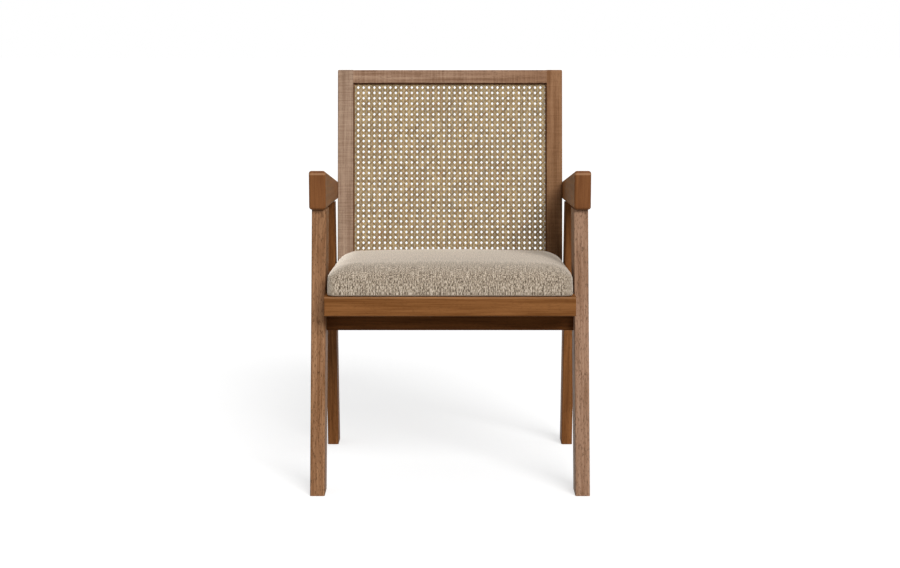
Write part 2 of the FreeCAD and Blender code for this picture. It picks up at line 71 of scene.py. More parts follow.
back_place = tipped(BACK_FOOT, BACK_LEAN)
seat_place = tipped(SEAT_FRONT, SEAT_SLOPE)
print("top of the back:", tuple(round(v, 3) for v in back_place @ Vector((0, 0, BACK_HEIGHT))))

# %% [markdown]
# ## Camera
# The photograph was taken with a long lens from a little above the top of the back, looking slightly
# down. A long lens keeps the uprights almost parallel. The focal length in picture widths and the
# downward tilt were found from the two pairs of feet and the top of the back.

# %% Camera
CAMERA_SPOT, CAMERA_TILT = (0, -3.9537, 0.96065), math.radians(8.0)
SENSOR_WIDTH, FOCAL_LENGTH = 36.0, 72.0
camera = new_object("camera", bpy.data.cameras.new("camera"))
camera.data.sensor_fit = "HORIZONTAL"
camera.data.sensor_width = SENSOR_WIDTH
camera.data.lens = FOCAL_LENGTH
camera.location = CAMERA_SPOT
camera.rotation_euler = (math.pi / 2 - CAMERA_TILT, 0, 0)
bpy.context.scene.camera = camera
bpy.context.scene.view_settings.view_transform = "Standard"
print("camera at", tuple(camera.location))

# %% [markdown]
# ## Writing nodes as sums
# A material is a small graph. Drawing one by hand in code takes many lines, so a wire is wrapped in a
# class that knows plus, minus and times: an expression on wires adds the Math nodes by itself. Every
# other node comes from one method, which takes its settings first and then its sockets.

# %% Wires
X, Y, Z = range(3)


class Wire:
    """An output of a node. Sums and products of wires add Math nodes to the same tree."""

    def __init__(self, tree, socket=None):
        self.tree = tree
        self.socket = socket

    def node(self, kind, settings=None, sockets=None, out=0):
        """Add any node and give one of its outputs."""
        made = self.tree.nodes.new(kind)
        for name, value in (settings or {}).items():
            setattr(made, name, value)
        for name, value in (sockets or {}).items():
            if isinstance(value, Wire):
                self.tree.links.new(value.socket, made.inputs[name])
            else:
                made.inputs[name].default_value = value
        return Wire(self.tree, made.outputs[out] if len(made.outputs) else None)

    def math(self, operation, *values):
        """A Math node on these values."""
        return self.node("ShaderNodeMath", {"operation": operation}, dict(enumerate(values)))

    def __add__(self, other):
        return self.math("ADD", self, other)

    def __radd__(self, other):
        return self.math("ADD", other, self)

    def __sub__(self, other):
        return self.math("SUBTRACT", self, other)

    def __rsub__(self, other):
        return self.math("SUBTRACT", other, self)

    def __mul__(self, other):
        return self.math("MULTIPLY", self, other)

    def __rmul__(self, other):
        return self.math("MULTIPLY", other, self)

    def __truediv__(self, other):
        return self.math("DIVIDE", self, other)

    def between(self, low, high):
        """0 below the low value, 1 above the high one and smooth from one to the other."""
        return self.node("ShaderNodeMapRange", {"interpolation_type": "SMOOTHSTEP"},
                         {0: self, 1: low, 2: high})

    def mixed(self, first, second):
        """A colour that goes from the first to the second as this wire goes from 0 to 1."""
        return self.node("ShaderNodeMix", {"data_type": "RGBA"}, {0: self, 6: first, 7: second}, 2)

    def part(self, axis):
        """One of this wire's three coordinates."""
        return self.node("ShaderNodeSeparateXYZ", None, {0: self}, axis)

    def stretched(self, size, turn=(0, 0, 0)):
        """This wire's coordinates counted in steps of this size, along axes that may be turned."""
        return self.node("ShaderNodeMapping", {"vector_type": "TEXTURE"},
                         {"Vector": self, "Rotation": turn, "Scale": size})

    def relief(self, strength, distance):
        """A bump with this wire as its height."""
        return self.node("ShaderNodeBump", None,
                         {"Strength": strength, "Distance": distance, "Height": self})

    def noise(self, scale, detail=2.0, rough=0.5):
        """Soft noise over this wire's coordinates, about 0.5 in the middle."""
        return self.node("ShaderNodeTexNoise", None,
                         {"Vector": self, "Scale": scale, "Detail": detail, "Roughness": rough})


def ink(red, green, blue):
    """A screen colour, 0 to 255, as the linear light that a shader works in."""
    def linear(level):
        share = level / 255
        return share / 12.92 if share <= 0.04045 else ((share + 0.055) / 1.055) ** 2.4
    return (linear(red), linear(green), linear(blue), 1.0)


def new_material(name):
    """An empty material: a wire to draw from, and its main shader."""
    material = bpy.data.materials.new(name)
    material.use_nodes = True
    return material, Wire(material.node_tree), material.node_tree.nodes["Principled BSDF"]


def feed(wire, shader, **sockets):
    """Give the main shader its values and links, by socket name with underscores."""
    for name, value in sockets.items():
        socket = shader.inputs[name.replace("_", " ")]
        if isinstance(value, Wire):
            wire.tree.links.new(value.socket, socket)
        else:
            socket.default_value = value


print("mid brown in linear light:", [round(v, 3) for v in ink(129, 83, 44)])

# %% [markdown]
# ## Floor, backdrop and light
# The chair stands on white, and its shadow falls back and to the left. One broad sun from the front
# right gives the shadow, and a weak sky that is brightest overhead fills the rest. The white itself
# isn't light on the chair: the floor and the sky are white only to the camera and in reflections.

# %% Stage
SKY_LEVEL, SKY_OVERHEAD = 0.12, 0.40
KEY_STRENGTH, KEY_SOFTNESS = 2.65, math.radians(32.0)
KEY_COURSE = Vector((-0.287, 0.788, -0.545))
FLOOR_WHITE, FLOOR_PAINT = 0.65, 0.52
FLOOR_DROP = 0.0004
FLOOR_CORNERS = ((-30, -30), (30, -30), (30, 60), (-30, 60))


def seen_rays(wire):
    """1 for rays from the camera and for reflections and glass, 0 for light that fills."""
    path = wire.node("ShaderNodeLightPath").socket.node.outputs
    camera_ray, glossy, through = (Wire(wire.tree, path[name]) for name in
                                   ("Is Camera Ray", "Is Glossy Ray", "Is Transmission Ray"))
    return camera_ray.math("MAXIMUM", camera_ray, glossy.math("MAXIMUM", glossy, through))


world = bpy.data.worlds.new("studio")
bpy.context.scene.world = world
world.use_nodes = True
sky = Wire(world.node_tree)
rise = sky.node("ShaderNodeTexCoord", out="Generated").part(Z)
fill = SKY_LEVEL + rise.math("MAXIMUM", rise, 0.0) * SKY_OVERHEAD
seen = seen_rays(sky)
backdrop = world.node_tree.nodes["Background"]
backdrop.inputs["Color"].default_value = (1.0, 1.0, 1.0, 1.0)
world.node_tree.links.new((seen + (1.0 - seen) * fill).socket, backdrop.inputs["Strength"])

floor_mesh = bpy.data.meshes.new("floor")
floor_mesh.from_pydata([(x, y, -FLOOR_DROP) for x, y in FLOOR_CORNERS], [], [(0, 1, 2, 3)])
floor = new_object("floor", floor_mesh)
floor_finish = bpy.data.materials.new("white_floor")
floor_finish.use_nodes = True
floor_finish.node_tree.nodes.clear()
ground = Wire(floor_finish.node_tree)
paint = ground.node("ShaderNodeBsdfDiffuse", None, {"Color": (FLOOR_PAINT, FLOOR_PAINT, FLOOR_PAINT, 1)})
glow = ground.node("ShaderNodeEmission", None, {"Color": (1, 1, 1, 1),
                                                "Strength": seen_rays(ground) * FLOOR_WHITE})
both = ground.node("ShaderNodeAddShader", None, {0: paint, 1: glow})
ground.node("ShaderNodeOutputMaterial", None, {"Surface": both})
floor_mesh.materials.append(floor_finish)

key = new_object("key_light", bpy.data.lights.new("key_light", "SUN"))
key.data.energy = KEY_STRENGTH
key.data.angle = KEY_SOFTNESS
key.rotation_euler = KEY_COURSE.to_track_quat("-Z", "Y").to_euler()
print("key light from", tuple(round(-v, 3) for v in KEY_COURSE))

# %% [markdown]
# ## Wood
# The frame is a stained hardwood with a satin finish. Wood looks right only if its grain runs along
# each board, so the pattern's coordinates are turned to the lie of the board and then stretched: long
# soft tone bands, finer streaks inside them and short dark pores. Boards come from different planks,
# so each has its own two tones, some more orange and some greyer. The paler, greyer tones of the front
# legs and the back's boards are partly painted sheen, for faces that lean back towards the light, and
# the stretchers' darker tone is partly painted shade under the seat.

# %% Wood finish
ACROSS = (0, 0, 0)
BAND, STREAK, PORE, RIPPLE = (0.25, 0.012), (0.10, 0.0034), (0.008, 0.0020), (0.0035, 0.06)
PORE_SHADE, WOOD_BUMP, WOOD_RELIEF = 0.4, 0.12, 0.0006
END_PLY, END_DEPTH, END_SHARE, END_STAIN = 14.0, 0.003, 0.5, ink(97, 49, 6)
# Painted highlight: the softness of its band's edges, how much it paints and its pale colour.
HIGHLIGHT_SOFTNESS, HIGHLIGHT_SHARE, HIGHLIGHT_PALE = 0.0008, 0.35, ink(206, 160, 120)


def leaning(degrees):
    """Turn that lays the grain in the side plane, leaning back from upright."""
    return (0, -math.radians(90.0 - degrees), math.radians(90.0))


def wood(name, turn, dark, light, speck=0.35, figure=0.0, polish=0.04, darker_along=None, painted_highlight=None,
         end=None):
    """A board's finish: tone bands, streaks, pores and a cross figure.

    The colour darkens along an axis from one place to another, towards the last item, a colour.
    A painted highlight lies pale on a front edge between two heights, as far back as the third number.
    In front of end is end grain, with the tree's rings as upright layers that take more stain.
    """
    material, wire, shader = new_material(name)
    place = wire.node("ShaderNodeTexCoord", out="Object")
    depth = place.part(Y)

    def board(size, ply=1.0):
        length, width = size
        return place.stretched((length, width, width * ply), turn)

    def grain(ply=1.0):
        return board(BAND, ply).noise(1.0, 3.0, 0.5) * 0.5 + board(STREAK, ply).noise(1.0, 4.0, 0.55) * 0.5

    streaks = board(STREAK).noise(1.0, 4.0, 0.55)
    pores = board(PORE).noise(1.0, 2.0, 0.6).between(0.52, 0.68)
    tone = grain() + (board(RIPPLE).noise(1.0, 2.0, 0.5) - 0.5) * figure
    if end:
        cut = 1.0 - depth.between(end, end + END_DEPTH)
        tone = tone + cut * (grain(END_PLY) - tone)
    colour = tone.between(0.30, 0.70).mixed(dark, light)
    colour = (pores * speck).mixed(colour, tuple(level * PORE_SHADE for level in dark[:3]) + (1.0,))
    if end:
        colour = (cut * END_SHARE).mixed(colour, END_STAIN)
    # painted shade on the rear legs and the right stile: the colour darkens along an axis
    if darker_along:
        axis, near, far, stain = darker_along
        colour = wire.node("ShaderNodeMix", {"data_type": "RGBA", "blend_type": "MULTIPLY"},
                           {0: place.part(axis).between(near, far), 6: colour, 7: stain}, 2)
    # painted highlight: a pale band along a front edge, for the light that the rounded edge catches
    if painted_highlight:
        low, high, back = painted_highlight
        height = place.part(Z)
        edge = height.between(low, low + HIGHLIGHT_SOFTNESS) * (1.0 - height.between(high, high + HIGHLIGHT_SOFTNESS))
        front = 1.0 - depth.between(back, back + HIGHLIGHT_SOFTNESS)
        colour = (edge * front * HIGHLIGHT_SHARE).mixed(colour, HIGHLIGHT_PALE)
    feed(wire, shader, Base_Color=colour, Roughness=0.40 + streaks * 0.2, Specular_IOR_Level=polish,
         Normal=(streaks * 0.5 - pores).relief(WOOD_BUMP, WOOD_RELIEF))
    return material


def dress(finish, *names):
    """Give these nodes of the frame one finish."""
    for name in names:
        nodes[name].material_slots[0].material = finish


print("turn of an upright board's grain:", [round(v, 3) for v in leaning(0.0)])

# %% [markdown]
# Each board now gets its lie, its two tones and its marks. On some the colour darkens from one end to the
# other: painted shade on the rear legs and the right stile, and a darkening towards the right on the top
# rail. On the arms' cut ends the stain goes deeper, and on the arms and the front rail a painted
# highlight lies pale along the front top edge.

# %% Wooden pieces
FRONT_LEG_LIE, REAR_LEG_LIE, ARM_LIE = leaning(13.9), leaning(-8.0), leaning(93.0)
STILE_LIE, SIDE_RAIL_LIE = leaning(BACK_LEAN), leaning(90.0 + SEAT_SLOPE)
# Painted shade darkens the rear legs up under the arms and the seat, and the right stile down where the
# right arm's shadow falls. The top rail darkens towards its right end.
REAR_LEG_PAINTED_SHADE = (Z, 0.30, 0.58, (0.66, 0.64, 0.62, 1.0))
RIGHT_STILE_PAINTED_SHADE = (Z, 0.86, 0.46, (0.70, 0.70, 0.66, 1.0))
TOP_RAIL_DARKENING = (X, -0.08, 0.24, (0.76, 0.66, 0.57, 1.0))
# Heights and depth of the painted highlight on the front top edges of the arms and the front rail.
ARM_END, ARM_HIGHLIGHT, FRONT_RAIL_HIGHLIGHT = -0.1785, (0.6606, 0.6646, -0.1755), (0.4124, 0.4140, 0.0)
SEAT_TONES = ink(108, 66, 31), ink(142, 94, 53)

# The front legs and the back's boards are paler and greyer partly as painted sheen on faces that lean back.
dress(wood("left_leg_wood", FRONT_LEG_LIE, ink(116, 77, 48), ink(166, 125, 91), 0.75), "left_front_leg")
dress(wood("right_leg_wood", FRONT_LEG_LIE, ink(127, 93, 69), ink(177, 142, 117), 0.7), "right_front_leg")
dress(wood("rear_leg_wood", REAR_LEG_LIE, ink(103, 62, 31), ink(149, 98, 56), darker_along=REAR_LEG_PAINTED_SHADE),
      "left_rear_leg", "right_rear_leg")
dress(wood("arm_wood", ARM_LIE, ink(107, 66, 31), ink(149, 99, 56), 0.25, polish=0.20, painted_highlight=ARM_HIGHLIGHT,
           end=ARM_END),
      "left_armrest", "right_armrest")
dress(wood("left_stile_wood", STILE_LIE, ink(140, 113, 93), ink(176, 149, 127), 0.25, 0.5),
      "left_back_stile")
dress(wood("right_stile_wood", STILE_LIE, ink(121, 83, 54), ink(157, 117, 85), 0.25, 0.3,
           darker_along=RIGHT_STILE_PAINTED_SHADE),
      "right_back_stile")
dress(wood("back_rail_wood", ACROSS, ink(126, 94, 72), ink(174, 143, 119), 0.35, 0.3,
           darker_along=TOP_RAIL_DARKENING),
      "back_top_rail", "back_bottom_rail")
dress(wood("front_rail_wood", ACROSS, *SEAT_TONES, 0.2, painted_highlight=FRONT_RAIL_HIGHLIGHT), "front_seat_rail")
dress(wood("rear_rail_wood", ACROSS, *SEAT_TONES, 0.2), "rear_seat_rail")
dress(wood("side_rail_wood", SIDE_RAIL_LIE, ink(110, 66, 28), ink(150, 98, 52), 0.2),
      "left_seat_rail", "right_seat_rail")
# Painted shade: the stretchers' darker tone is partly the shade under the seat.
dress(wood("stretcher_wood", ACROSS, ink(80, 43, 14), ink(116, 70, 33), 0.2, polish=0.05),
      "front_stretcher", "rear_stretcher")
dress(wood("bead_wood", ACROSS, ink(86, 56, 37), ink(118, 80, 55)),
      "top_cane_bead", "bottom_cane_bead", "left_cane_bead", "right_cane_bead")
print("wood finishes:", [material.name for material in bpy.data.materials if "wood" in material.name])

# %% [markdown]
# ## Hidden boards and fasteners
# Under the seat are a plywood board, glue blocks, bolts and screws. They are seldom seen, but each has
# the finish of the real thing: pale unstained wood with saw marks, plywood with a veneer grain, and
# metal that is brushed by its making.

# %% Pale wood, plywood and metal
SAW_MARK, TURNING_MARK = (0.0015, 0.05, 0.05), (0.0004, 0.003, 0.003)
BLOCK_GRAIN, VENEER_GRAIN = (0.12, 0.006, 0.006), (0.3, 0.02, 0.004)


def pale_wood(name, dark, light, size):
    """Unstained wood: long soft grain and a dry surface."""
    material, wire, shader = new_material(name)
    place = wire.node("ShaderNodeTexCoord", out="Object")
    grain = place.stretched(size).noise(1.0, 4.0, 0.6)
    saw = place.stretched(SAW_MARK).noise(1.0, 1.0)
    feed(wire, shader, Base_Color=grain.between(0.3, 0.7).mixed(dark, light),
         Roughness=0.62 + saw * 0.2, Normal=saw.relief(0.1, 0.0004), Specular_IOR_Level=0.25)
    return material


def metal(name, dark, light, rough):
    """Plated or plain metal with fine turning marks."""
    material, wire, shader = new_material(name)
    marks = wire.node("ShaderNodeTexCoord", out="Object").stretched(TURNING_MARK).noise(1.0, 2.0)
    feed(wire, shader, Base_Color=marks.mixed(dark, light), Metallic=1.0, Roughness=rough + marks * 0.15)
    return material


block_wood = pale_wood("block_wood", ink(176, 142, 100), ink(212, 180, 138), BLOCK_GRAIN)
veneer = pale_wood("plywood_veneer", ink(180, 148, 108), ink(216, 188, 150), VENEER_GRAIN)
zinc = metal("zinc_plate", ink(150, 152, 158), ink(206, 208, 212), 0.3)
sleeve_brass = metal("sleeve_brass", ink(160, 120, 60), ink(206, 168, 96), 0.28)
dress(block_wood, "arm_dowels", "left_front_corner_block", "right_front_corner_block",
      "left_rear_corner_block", "right_rear_corner_block")
dress(veneer, "seat_board")
dress(zinc, "leg_bolts", "leg_washers", "seat_screws", "stretcher_screws")
dress(sleeve_brass, "leg_inserts")
print("pale wood, plywood and metal are on their nodes")

# %% [markdown]
# ## Woven cane
# Cane webbing has pairs of upright strands and pairs of level ones that pass over and under each
# other, and single strands on both slants that lock them, which leaves eight-sided gaps. A picture on a
# sheet would be quicker, but the light catches each strand, so every one is made. All four sets follow
# one rule: parallel lines, cut to the panel, that wave in and out. So one Geometry Nodes tree makes
# them from a few named sizes.

# %% Strand tree
MESH = 0.0125
RING_POINTS = 6
NUDGE = 0.001


def strand_tree():
    """Parallel strands on a flat panel in the XY plane, with their waves along Z."""
    tree = bpy.data.node_groups.new("cane_strands", "GeometryNodeTree")
    face = tree.interface
    face.new_socket("Geometry", in_out="OUTPUT", socket_type="NodeSocketGeometry")
    numbers = ("Angle", "First", "Step", "Spread", "Wave origin", "Wave height", "Wave shift",
               "Alternate", "Wave across", "Wave up", "Left", "Right", "Bottom", "Top", "Width",
               "Thickness", "Sample", "Strands per line")
    for name in numbers:
        face.new_socket(name, in_out="INPUT", socket_type="NodeSocketFloat")
    face.new_socket("Strands", in_out="INPUT", socket_type="NodeSocketInt")
    face.new_socket("Seed", in_out="INPUT", socket_type="NodeSocketInt")
    face.new_socket("Finish", in_out="INPUT", socket_type="NodeSocketMaterial")
    start = Wire(tree)
    inputs = start.node("NodeGroupInput").socket.node.outputs
    given = {socket.name: Wire(tree, socket) for socket in inputs if socket.name}

    line = start.node("GeometryNodeCurvePrimitiveLine", {"mode": "POINTS"},
                      {"Start": (0, 0, 0), "End": (1, 0, 0)})
    spots = start.node("GeometryNodePoints", None, {"Count": given["Strands"]})
    copies = start.node("GeometryNodeInstanceOnPoints", None, {"Points": spots, "Instance": line})
    number = start.node("GeometryNodeInputIndex")
    marked = start.node("GeometryNodeStoreNamedAttribute", {"data_type": "FLOAT", "domain": "INSTANCE"},
                        {"Geometry": copies, "Name": "strand", "Value": number})
    lines = start.node("GeometryNodeRealizeInstances", None, {"Geometry": marked})

    strand = start.node("GeometryNodeInputNamedAttribute", {"data_type": "FLOAT"}, {"Name": "strand"})
    share = start.node("GeometryNodeSplineParameter")
    pair = strand.math("FLOOR", strand / given["Strands per line"] + NUDGE)
    side = strand - pair * given["Strands per line"]
    offset = (given["First"] + pair * given["Step"]
              + (side - (given["Strands per line"] - 1) * 0.5) * given["Spread"])
    run_x = given["Angle"].math("COSINE", given["Angle"])
    run_y = given["Angle"].math("SINE", given["Angle"])

    def limits(low, high, base, run):
        first = (low - base) / run
        second = (high - base) / run
        return first.math("MINIMUM", first, second), first.math("MAXIMUM", first, second)

    near_x, far_x = limits(given["Left"], given["Right"], offset * run_y * -1.0, run_x)
    near_y, far_y = limits(given["Bottom"], given["Top"], offset * run_x, run_y)
    near = near_x.math("MAXIMUM", near_x, near_y)
    far = far_x.math("MINIMUM", far_x, far_y)
    reach = near + (far - near) * share
    flat = start.node("ShaderNodeCombineXYZ", None, {0: run_x * reach - run_y * offset,
                                                     1: run_y * reach + run_x * offset})
    laid = start.node("GeometryNodeSetPosition", None, {"Geometry": lines, "Position": flat})
    fine = start.node("GeometryNodeResampleCurve", {"mode": "LENGTH"},
                      {"Curve": laid, "Length": given["Sample"]})

    place = start.node("GeometryNodeInputPosition")
    travel = place.part(X) * given["Wave across"] + place.part(Y) * given["Wave up"]
    turn = (travel - given["Wave origin"]) * (2 * math.pi / MESH) - given["Wave shift"]
    odd = strand.math("MODULO", strand + NUDGE, 2.0)
    sign = 1.0 - 2.0 * given["Alternate"] * odd.math("FLOOR", odd)
    lift = start.node("ShaderNodeCombineXYZ", None,
                      {2: turn.math("COSINE", turn) * given["Wave height"] * sign})
    waved = start.node("GeometryNodeSetPosition", None, {"Geometry": fine, "Offset": lift})
    upright = start.node("GeometryNodeSetCurveNormal", {"mode": "Z_UP"}, {"Curve": waved})

    tint = start.node("FunctionNodeRandomValue", {"data_type": "FLOAT"},
                      {"ID": strand.math("ROUND", strand), "Seed": given["Seed"]}, 1)
    toned = start.node("GeometryNodeStoreNamedAttribute", {"data_type": "FLOAT", "domain": "POINT"},
                       {"Geometry": upright, "Name": "tone", "Value": tint})
    length = start.node("GeometryNodeSplineParameter", out="Length")
    measured = start.node("GeometryNodeStoreNamedAttribute", {"data_type": "FLOAT", "domain": "POINT"},
                          {"Geometry": toned, "Name": "run", "Value": length})

    ring = start.node("GeometryNodeCurvePrimitiveCircle", {"mode": "RADIUS"},
                      {"Resolution": RING_POINTS, "Radius": 0.5})
    size = start.node("ShaderNodeCombineXYZ", None, {0: given["Width"], 1: given["Thickness"], 2: 1.0})
    section = start.node("GeometryNodeTransform", None, {"Geometry": ring, "Scale": size})
    tube = start.node("GeometryNodeCurveToMesh", None, {"Curve": measured, "Profile Curve": section,
                                                        "Fill Caps": True})
    smooth = start.node("GeometryNodeSetShadeSmooth", None, {"Geometry": tube, "Shade Smooth": True})
    whole = start.node("GeometryNodeRealizeInstances", None, {"Geometry": smooth})
    painted = start.node("GeometryNodeSetMaterial", None, {"Geometry": whole, "Material": given["Finish"]})
    start.node("NodeGroupOutput", None, {"Geometry": painted})
    return tree


strands = strand_tree()
print("strand tree inputs:", [item.name for item in strands.interface.items_tree if item.in_out == "INPUT"])

# %% [markdown]
# The cane's colour changes from strand to strand and along each strand, from straw to a greyer and a
# redder brown, because the outer skin of the plant does. The tree has kept each strand's own number
# and the distance along it, and the finish reads both.

# %% Cane finish
def cane_finish():
    """Strips of plant skin: a tone for each strand, slow changes along it and fine fibres."""
    material, wire, shader = new_material("cane_skin")
    tone = wire.node("ShaderNodeAttribute", {"attribute_name": "tone"}, out="Fac")
    run = wire.node("ShaderNodeAttribute", {"attribute_name": "run"}, out="Fac")
    strip = wire.node("ShaderNodeCombineXYZ", None, {0: run, 1: tone * 37.0, 2: tone * 11.0})
    slow = strip.noise(26.0, 3.0, 0.6)
    warm = strip.noise(14.0, 2.0)
    fibre = strip.noise(210.0, 3.0, 0.6)
    straw = slow.between(0.32, 0.68).mixed(ink(138, 114, 78), ink(194, 168, 124))
    aged = warm.between(0.52, 0.85).mixed(straw, ink(170, 128, 90))
    grey = tone.between(0.70, 1.15).mixed(aged, ink(152, 138, 114))
    shade = (fibre.between(0.4, 0.75) * 0.35).mixed(grey, ink(112, 90, 62))
    feed(wire, shader, Base_Color=shade, Roughness=0.5 + fibre * 0.2, Normal=fibre.relief(0.15, 0.0003),
         Specular_IOR_Level=0.15)
    return material


cane_skin = cane_finish()
print("cane finish:", cane_skin.name)

# %% [markdown]
# The webbing isn't centred: in the photograph the right-hand column of gaps is half under the frame.
# The lines are counted from the first gap at the upper left, and the panel is then tipped back.

# %% Cane panel
PANEL_HALF = 0.2252
PANEL_LOW, PANEL_HIGH = 0.0823, 0.4951
PANEL_DEPTH = 0.0092
FIRST_GAP_X, FIRST_GAP_UP = -0.2140, 0.48535
PAIR_X = FIRST_GAP_X - MESH / 2
PAIR_UP = FIRST_GAP_UP + MESH / 2
STRAND_WIDTH, SLANT_WIDTH, STRAND_THICKNESS = 0.0034, 0.0038, 0.0007
PAIR_SPREAD, WAVE_HEIGHT = 0.0037, 0.00036
panel_place = back_place @ Matrix.Translation((0, PANEL_DEPTH, 0)) @ Matrix.Rotation(math.pi / 2, 4, "X")


def plain_mesh(owner, name):
    """A plain mesh object from what an object's modifiers make; the first object goes."""
    graph = bpy.context.evaluated_depsgraph_get()
    mesh = bpy.data.meshes.new_from_object(owner.evaluated_get(graph))
    bpy.data.objects.remove(owner)
    return new_object(name, mesh)


def cane_set(name, seed, **sizes):
    """One set of parallel strands, made flat and then carried to the back."""
    carrier = new_object(name + "_lines", bpy.data.meshes.new(name + "_lines"))
    modifier = carrier.modifiers.new("strands", "NODES")
    modifier.node_group = strands
    shared = {"Left": -PANEL_HALF, "Right": PANEL_HALF, "Bottom": PANEL_LOW, "Top": PANEL_HIGH,
              "Thickness": STRAND_THICKNESS, "Finish": cane_skin, "Seed": seed, "Width": STRAND_WIDTH,
              "Strands_per_line": 2.0, "Spread": PAIR_SPREAD, "Step": MESH, "Sample": MESH / 5}
    values = {**shared, **sizes}
    for item in strands.interface.items_tree:
        if item.in_out == "INPUT":
            modifier[item.identifier] = values[item.name.replace(" ", "_")]
    piece = plain_mesh(carrier, name)
    piece.data.transform(panel_place)
    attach(piece, "root")
    print(name, "triangles:", sum(len(polygon.vertices) - 2 for polygon in piece.data.polygons))
    return piece


def lines_inside(first, low, high):
    """The first line past the low edge of the panel, and how many there are up to the high one."""
    start = first - math.floor((first - low - STRAND_WIDTH) / MESH) * MESH
    return start, int((high - STRAND_WIDTH - start) // MESH) + 1


upright_first, uprights = lines_inside(PAIR_X, -PANEL_HALF, PANEL_HALF)
level_first, levels = lines_inside(PAIR_UP, PANEL_LOW, PANEL_HIGH)
upright_strands = cane_set(
    "cane_upright_strands", 3, Angle=math.pi / 2, First=-upright_first - (uprights - 1) * MESH,
    Strands=2 * uprights, Wave_origin=PAIR_UP, Wave_across=0.0, Wave_up=1.0, Wave_height=WAVE_HEIGHT,
    Wave_shift=math.pi / 2, Alternate=1.0)
level_strands = cane_set(
    "cane_level_strands", 5, Angle=0.0, First=level_first, Strands=2 * levels, Wave_origin=PAIR_X,
    Wave_across=1.0, Wave_up=0.0, Wave_height=WAVE_HEIGHT, Wave_shift=math.pi / 2, Alternate=1.0)
print("lines:", uprights, levels)

# %% [markdown]
# A slanted strand crosses an upright pair halfway between two level pairs, and a level pair halfway
# between two upright ones. One slant lies in front of the uprights and behind the level strands, and
# the other slant the other way round, so their waves are opposite.

# %% Slanted strands
SLANT_STEP = MESH / math.sqrt(2)


def slant_lines(angle):
    """The first slanted line of a set that crosses the panel, and how many there are."""
    normal = Vector((-math.sin(angle), math.cos(angle)))
    middle = normal @ Vector((PAIR_X, PAIR_UP)) + SLANT_STEP / 2
    corners = [normal @ Vector((x, y)) for x in (-PANEL_HALF, PANEL_HALF) for y in (PANEL_LOW, PANEL_HIGH)]
    first = middle - math.floor((middle - min(corners) - SLANT_WIDTH) / SLANT_STEP) * SLANT_STEP
    return first, int((max(corners) - SLANT_WIDTH - first) // SLANT_STEP) + 1


slant_pieces = []
for name, angle, height, seed in (("cane_rising_strands", math.pi / 4, 2 * WAVE_HEIGHT, 7),
                                  ("cane_falling_strands", -math.pi / 4, -2 * WAVE_HEIGHT, 9)):
    first, count = slant_lines(angle)
    slant_pieces.append(cane_set(
        name, seed, Angle=angle, First=first, Step=SLANT_STEP, Strands=count, Strands_per_line=1.0,
        Spread=0.0, Width=SLANT_WIDTH, Wave_origin=PAIR_X, Wave_across=1.0, Wave_up=0.0,
        Wave_height=height, Wave_shift=0.0, Alternate=0.0, Sample=MESH / 4))
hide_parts("cane_panel")
print("slanted sets:", [piece.name for piece in slant_pieces])

# %% [markdown]
# ## Padded seat
# The seat is foam on a board, with cloth pulled over it and stapled underneath. Its sides stand
# straight and its top edge rolls over softly, further at the front than at the sides. The form starts
# as a fine box. The height of its top follows a round towards each edge, with a low crown in between,
# its upright corners are drawn in to a small round, and its foot is tucked in where the cloth turns
# under the board, which leaves a thin dark line above the rail.

# %% Seat form
PAD_LOW = np.array([-0.2553, 0.0030])
PAD_HIGH = np.array([0.2553, 0.4600])
PAD_CORNER, PAD_TUCK, PAD_UNDERCUT = 0.015, 0.0036, 0.0070
PAD_WALL, PAD_RISE, PAD_CROWN = 0.0395, 0.0235, 0.011
ROLL_REACH = np.array([0.051, 0.066])
PAD_CELLS = (96, 88, 10)
EDGE_CROWDING, FOOT_CROWDING = 0.85, 1.4


def points_of(mesh):
    """The points of a mesh as an array."""
    flat = np.empty(len(mesh.vertices) * 3, np.float32)
    mesh.vertices.foreach_get("co", flat)
    return flat.reshape(-1, 3).astype(float)


def set_points(mesh, points):
    """Write an array of points back into a mesh."""
    mesh.vertices.foreach_set("co", points.astype(np.float32).ravel())
    mesh.update()


def fine_box(name, cells):
    """A box mesh from -1 to 1 with so many faces along each axis."""
    form = bmesh.new()
    bmesh.ops.create_cube(form, size=2.0)
    for axis, count in enumerate(cells):
        parallel = [edge for edge in form.edges
                    if abs(edge.verts[0].co[axis] - edge.verts[1].co[axis]) > 1.0]
        bmesh.ops.subdivide_edges(form, edges=parallel, cuts=count - 1, use_grid_fill=True)
    mesh = bpy.data.meshes.new(name)
    form.to_mesh(mesh)
    form.free()
    return mesh


